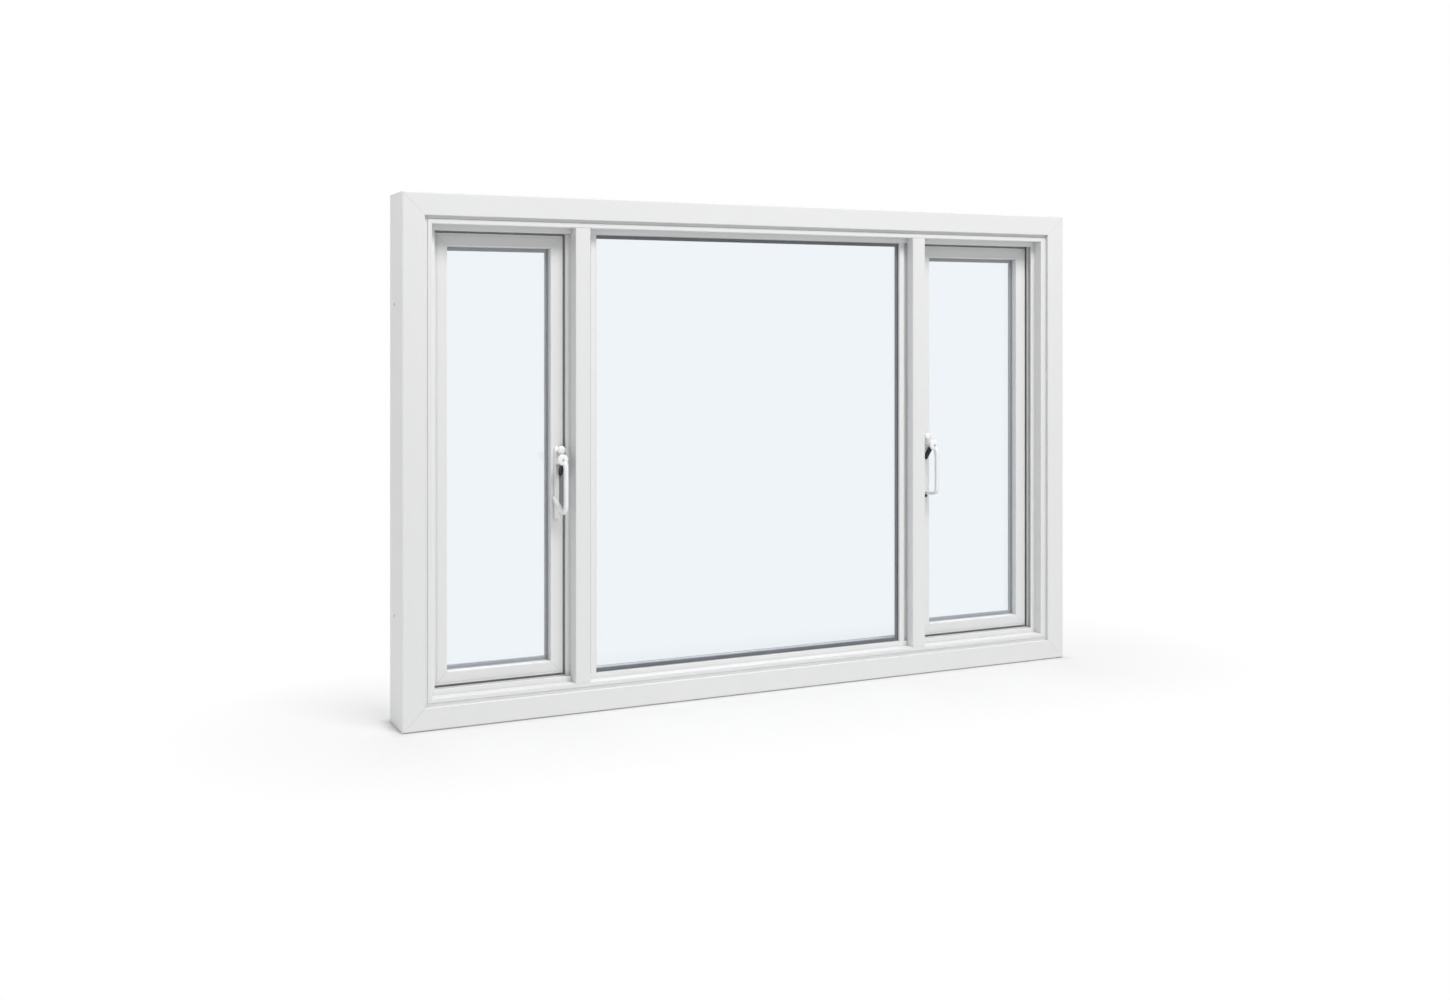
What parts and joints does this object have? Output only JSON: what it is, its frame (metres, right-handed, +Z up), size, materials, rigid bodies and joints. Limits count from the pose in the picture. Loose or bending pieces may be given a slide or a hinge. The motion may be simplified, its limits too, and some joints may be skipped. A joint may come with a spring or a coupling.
{
  "type": "sliding window",
  "caption": "White vinyl sliding window: a wide fixed centre light between narrow end sashes with D-shaped pulls, in a stepped mitred frame.",
  "frame": {"origin": "middle of the sill's foot, on the surface that the window stands on", "axes": "+X along the width to the right as seen from the room, +Y from the room face to the weather face, +Z up"},
  "size_m": [1.816, 0.12, 1.206],
  "materials": {
    "vinyl": "satin white vinyl",
    "glass": "clear float glass",
    "spacer": "dark warm-edge spacer",
    "gasket": "black extruded rubber",
    "pile": "grey woven pile",
    "nylon": "plain nylon",
    "handle": "glossy white"
  },
  "bodies": {
    "root": {"centre_back_pane": "glass", "centre_front_pane": "glass", "centre_gasket": "gasket", "centre_glazing_tape": "gasket", "centre_spacer": "spacer", "frame_head": "vinyl", "frame_left_jamb": "vinyl", "frame_right_jamb": "vinyl", "frame_sill": "vinyl", "left_handle_latch": "handle", "left_handle_plate": "handle", "left_handle_pull": "handle", "left_mullion": "vinyl", "left_sash_back_pane": "glass", "left_sash_bottom_rail": "vinyl", "left_sash_front_pane": "glass", "left_sash_gasket": "gasket", "left_sash_glazing_beads": "vinyl", "left_sash_glides": "nylon", "left_sash_jamb_stile": "vinyl", "left_sash_meeting_stile": "vinyl", "left_sash_spacer": "spacer", "left_sash_top_rail": "vinyl", "left_sash_weatherstrip": "pile", "right_handle_latch": "handle", "right_handle_plate": "handle", "right_handle_pull": "handle", "right_mullion": "vinyl", "right_sash_back_pane": "glass", "right_sash_bottom_rail": "vinyl", "right_sash_front_pane": "glass", "right_sash_gasket": "gasket", "right_sash_glazing_beads": "vinyl", "right_sash_glides": "nylon", "right_sash_jamb_stile": "vinyl", "right_sash_meeting_stile": "vinyl", "right_sash_spacer": "spacer", "right_sash_top_rail": "vinyl", "right_sash_weatherstrip": "pile"}
  },
  "joints": []
}
